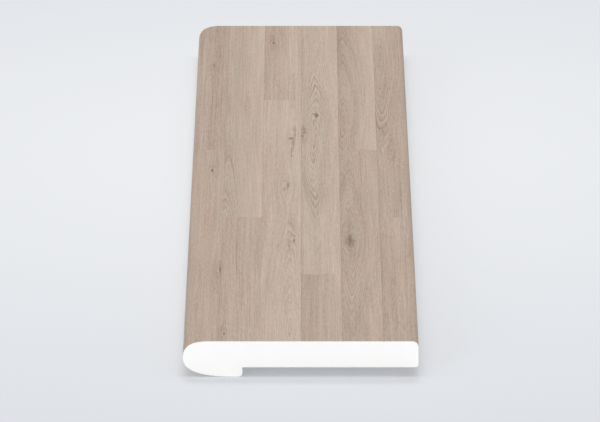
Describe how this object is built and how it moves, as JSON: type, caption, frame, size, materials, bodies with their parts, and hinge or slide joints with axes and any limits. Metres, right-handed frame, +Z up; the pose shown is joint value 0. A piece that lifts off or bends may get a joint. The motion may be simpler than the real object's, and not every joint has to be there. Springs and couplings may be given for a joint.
{
  "type": "stair nose moulding",
  "caption": "Long flush stair nosing with a rounded nose, a short drop lip and a flat tongue; it finishes the front edge of a stair tread or landing. Pale oak decor, white sawn ends.",
  "frame": {"origin": "middle of the length and of the width, at the height of the lip's foot", "axes": "+X from the nose to the back edge, +Y along the length, +Z up out of the walking face"},
  "size_m": [0.125, 1.2, 0.019],
  "materials": {
    "oak_decor": "matte"
  },
  "bodies": {
    "root": {"stair_nose": "oak_decor"}
  },
  "joints": []
}
